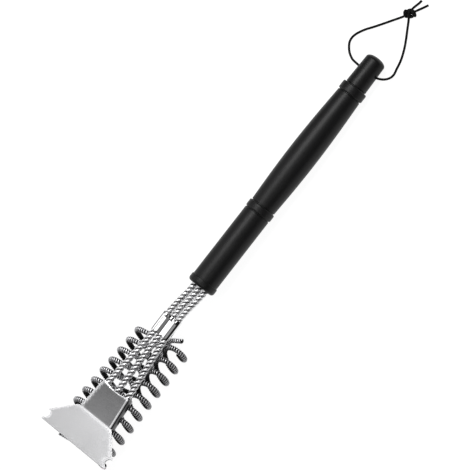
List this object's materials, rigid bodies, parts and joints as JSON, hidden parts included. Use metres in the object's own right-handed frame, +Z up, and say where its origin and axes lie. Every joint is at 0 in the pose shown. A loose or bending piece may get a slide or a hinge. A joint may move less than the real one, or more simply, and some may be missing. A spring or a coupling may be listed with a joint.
{
  "type": "grill brush",
  "caption": "Long grill cleaning brush without bristles: rows of coiled spring strand under twisted wire stems, a folded notched scraper at the front and a round handle with a hang cord.",
  "frame": {"origin": "on the surface that the brush rests on, under the middle of its length from the butt of the handle to the front of the coils", "axes": "+X from the handle to the scraper, +Y to the side where the round notches are mirrored, +Z up from the resting surface"},
  "size_m": [0.5292, 0.0836, 0.038],
  "materials": {
    "black_plastic": "moulded, satin",
    "bright_wire": "drawn stainless wire, bright",
    "spring_steel": "close-wound stainless strand",
    "bright_sheet": "polished stainless sheet",
    "scraper_sheet": "stainless sheet, satin",
    "black_cord": "braided cord"
  },
  "bodies": {
    "root": {"handle": "black_plastic", "stem_left_wire_a": "bright_wire", "stem_left_wire_b": "bright_wire", "stem_left_wire_c": "bright_wire", "stem_mid_wire_a": "bright_wire", "stem_mid_wire_b": "bright_wire", "stem_mid_wire_c": "bright_wire", "stem_right_wire_a": "bright_wire", "stem_right_wire_b": "bright_wire", "stem_right_wire_c": "bright_wire", "coil_left": "spring_steel", "coil_mid": "spring_steel", "coil_right": "spring_steel", "crimp_sleeve": "bright_sheet", "scraper": "scraper_sheet", "hang_cord": "black_cord", "cord_knot": "black_cord"}
  },
  "joints": []
}
